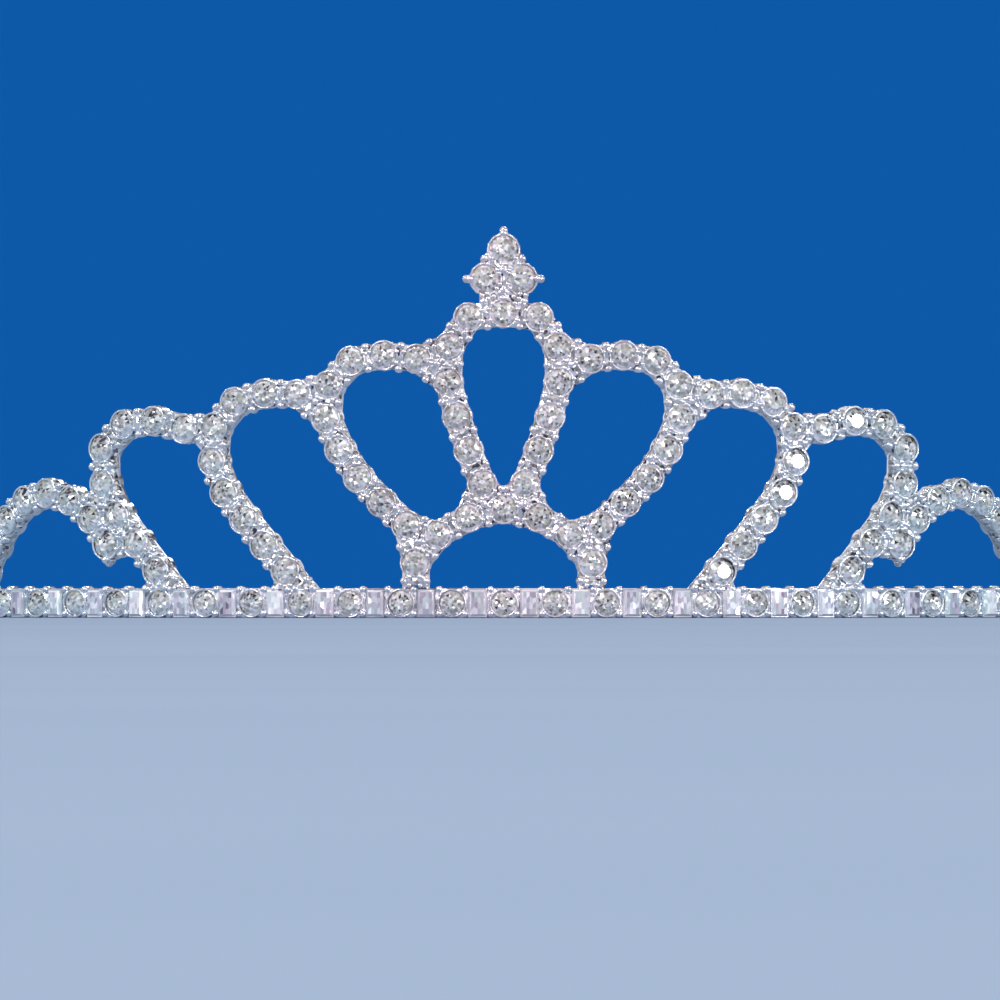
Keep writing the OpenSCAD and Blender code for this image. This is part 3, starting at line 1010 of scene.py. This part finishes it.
def round_stone(name, finish):
    """A round cut stone of radius 1 with its table at level 0, its facets in rings."""
    slope = CROWN_HEIGHT_SHARE / (1 - TABLE_SHARE)
    waist_level = -slope * (WAIST_SHARE - TABLE_SHARE) * WAIST_DROP_SHARE
    verts = [(0, 0, 0)]
    verts += turned(STAR_SHARE, 0, STAR_SIDES)
    verts += turned(TABLE_SHARE, 0, RING_SIDES)
    verts += turned(WAIST_SHARE, waist_level, RING_SIDES, turn=0.5)
    verts += turned(1, -CROWN_HEIGHT_SHARE, RING_SIDES)
    verts.append((0, 0, -CROWN_HEIGHT_SHARE - BACK_DEPTH_SHARE))
    star, table = 1, 1 + STAR_SIDES
    waist, girdle, point = (table + RING_SIDES * row for row in (1, 2, 3))
    faces = []
    for i in range(STAR_SIDES):
        after = (i + 1) % STAR_SIDES
        odd, even = 2 * i + 1, (2 * i + 2) % RING_SIDES
        faces.append((0, star + i, star + after))
        faces.append((star + i, table + 2 * i, table + odd))
        faces.append((star + i, table + odd, star + after))
        faces.append((star + after, table + odd, table + even))
    for i in range(RING_SIDES):
        after = (i + 1) % RING_SIDES
        faces.append((table + i, waist + i, table + after))
        faces.append((table + after, waist + i, waist + after))
        faces.append((waist + i, girdle + i, girdle + after))
        faces.append((waist + i, girdle + after, waist + after))
        faces.append((girdle + after, girdle + i, point))
    stone = new_piece(name, verts, faces, finish)
    set_facet_painted_light(stone, [OUTER_FACET_PAINTED_LIGHT if max(face) >= girdle else 0.0 for face in faces])
    return stone


# Each flashing stone's place: millimetres round the wall from its middle, and above the floor.
FLASHING_STONES = {
    "middle_loop_stones_right": [(24.8, 5.2), (32.19, 13.98), (33.66, 17.48)],
    "outer_loop_stones_right": [(41.15, 21.99)],
}
crystal = foil_backed_glass(
    "Foil-backed crystal", FOIL_PAINTED_REFLECTION_TONES, ROUND_FACET_SLOPE, ROUND_SEAT_SHARE, PAINTED_LOWER_HIGHLIGHT
)
stone_pattern = round_stone("stone_pattern", crystal)


def flash_axes(place):
    """The wall's axes at a place, leaned so that its stone throws the flash lamp at the camera."""
    to_lamp = (Vector(FLASH_LAMP) - place).normalized()
    to_camera = (camera.location - place).normalized()
    axes = wall_axes(place)
    lean = axes.col[2].rotation_difference((to_lamp + to_camera).normalized())
    return lean.to_matrix() @ axes


def flashes(node_name, place):
    """Whether the stone at this place is one of the four that flash."""
    round_wall = math.atan2(place.x - ring_middle.x, ring_middle.y - place.y) * WALL_RADIUS
    marks = FLASHING_STONES.get(node_name, [])
    return any(math.dist((round_wall / MM, place.z / MM), mark) < 1 for mark in marks)


LOOP_STONE_WIDTH = 3.02 * MM
MAIN_STONE_WIDTH = 3.22 * MM
BAND_STONE_WIDTH = 2.8 * MM
STONE_SPIN = 3.14
STONE_LEAN = 0.02


def set_stones(name, node_name, places, width, seed):
    """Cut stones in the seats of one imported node, each with its facets turned by chance."""
    seated = [
        (place, flash_axes(place) if flashes(node_name, place) else wall_axes(place), UNSTRETCHED)
        for place in places
    ]
    piece = set_pieces(
        name, seated, stone_pattern, crystal, Size=width / 2, Spin=STONE_SPIN, Lean=STONE_LEAN, Seed=seed
    )
    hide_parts(node_name)


set_stones("band_cut_stones", "band_round_stones", band_seats, BAND_STONE_WIDTH, 11)
for seed, (node_name, places) in enumerate(loop_seats.items(), 21):
    set_stones(node_name.replace("stones", "cut_stones"), node_name, places, LOOP_STONE_WIDTH, seed)
for seed, (node_name, places) in enumerate(main_seats.items(), 44):
    set_stones(node_name.replace("stone", "cut_stone"), node_name, places, MAIN_STONE_WIDTH, seed)
drop(stone_pattern)

# Baguettes.
# Upright step-cut glass with foil behind it, pressed into the boxes between the round stones.
# The foil is creased, so the table shows lilac and white patches of painted reflection, between bevels with a
# painted white highlight.
BAGUETTE_HALF_WIDTH = 0.93
BAGUETTE_HALF_HEIGHT = 1.46
BAGUETTE_STEPS = [(0.0, -1.2), (0.0, -0.55), (0.1, -0.25)]
BAGUETTE_TABLE_INSET = 0.24
BAGUETTE_STRIPS = 4
BAGUETTE_ROWS = 4
CREASE_SHIFTS = [0.0, 0.3, -0.25, 0.35, -0.1]
BAGUETTE_PROUD = 0.1 * MM
BAGUETTE_LEAN = 0.02
# Painted reflection: the lilac, grey and white tones of the creased foil's mosaic.
BAGUETTE_PAINTED_REFLECTION_TONES = [
    (0.0, (0.24, 0.17, 0.26)),
    (0.15, (0.55, 0.49, 0.57)),
    (0.34, (0.7, 0.68, 0.74)),
    (0.5, (0.86, 0.87, 0.9)),
    (0.62, (1.0, 0.97, 1.0)),
]
BAGUETTE_FACET_SLOPE = 0.12
BAGUETTE_SEAT_SHARE = 0.55
# Painted highlight: the bevels of each baguette are drawn white.
BEVEL_PAINTED_HIGHLIGHT = 1.0


def baguette_pattern(name, finish):
    """A step-cut baguette, its table parted in upright strips and those in uneven patches."""
    corners = [(-1, -1), (1, -1), (1, 1), (-1, 1)]
    sides = len(corners)
    verts = [
        (side * (BAGUETTE_HALF_WIDTH - inset), rise * (BAGUETTE_HALF_HEIGHT - inset), level)
        for inset, level in BAGUETTE_STEPS
        for side, rise in corners
    ]
    faces = [(3, 2, 1, 0)]
    for step in range(len(BAGUETTE_STEPS) - 1):
        for i in range(sides):
            a, b = sides * step + i, sides * step + (i + 1) % sides
            faces.append((a, b, b + sides, a + sides))
    half_width = BAGUETTE_HALF_WIDTH - BAGUETTE_TABLE_INSET
    half_height = BAGUETTE_HALF_HEIGHT - BAGUETTE_TABLE_INSET
    last, width = BAGUETTE_STRIPS, BAGUETTE_STRIPS + 1
    low, high = len(verts), len(verts) + BAGUETTE_ROWS * width
    for row in range(BAGUETTE_ROWS + 1):
        shifts = CREASE_SHIFTS if 0 < row < BAGUETTE_ROWS else [0.0]
        for i in range(width):
            crease = shifts[(i + 2 * row) % len(shifts)]
            x = half_width * (2 * i / last - 1)
            y = half_height * (2 * (row + crease) / BAGUETTE_ROWS - 1)
            verts.append((x, y, 0.0))
    for row in range(BAGUETTE_ROWS):
        for i in range(last):
            a = low + row * width + i
            faces.append((a, a + 1, a + width + 1, a + width))
    ring = low - sides
    faces.append((ring, ring + 1, *range(low + last, low - 1, -1)))
    faces.append((ring + 1, ring + 2, *range(high + last, low, -width)))
    faces.append((ring + 2, ring + 3, *range(high, high + width)))
    faces.append((ring + 3, ring, *range(low, high + 1, width)))
    pattern = new_piece(name, verts, faces, finish)
    set_facet_painted_light(pattern, [0.0 if min(face) >= low else BEVEL_PAINTED_HIGHLIGHT for face in faces])
    return pattern


baguette_crystal = foil_backed_glass(
    "Foil-backed baguette crystal", BAGUETTE_PAINTED_REFLECTION_TONES, BAGUETTE_FACET_SLOPE, BAGUETTE_SEAT_SHARE, 0.0
)
baguette = baguette_pattern("baguette_pattern", baguette_crystal)
baguette_places = [
    (shifted(place, axes, out=BAGUETTE_PROUD), axes, stretch)
    for place, axes, stretch in at_seats(baguette_seats)
]
cut_baguettes = set_pieces(
    "band_cut_baguettes",
    baguette_places,
    baguette,
    baguette_crystal,
    Size=MM,
    Lean=BAGUETTE_LEAN,
    Seed=61,
)
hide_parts("band_baguettes")
drop(baguette)
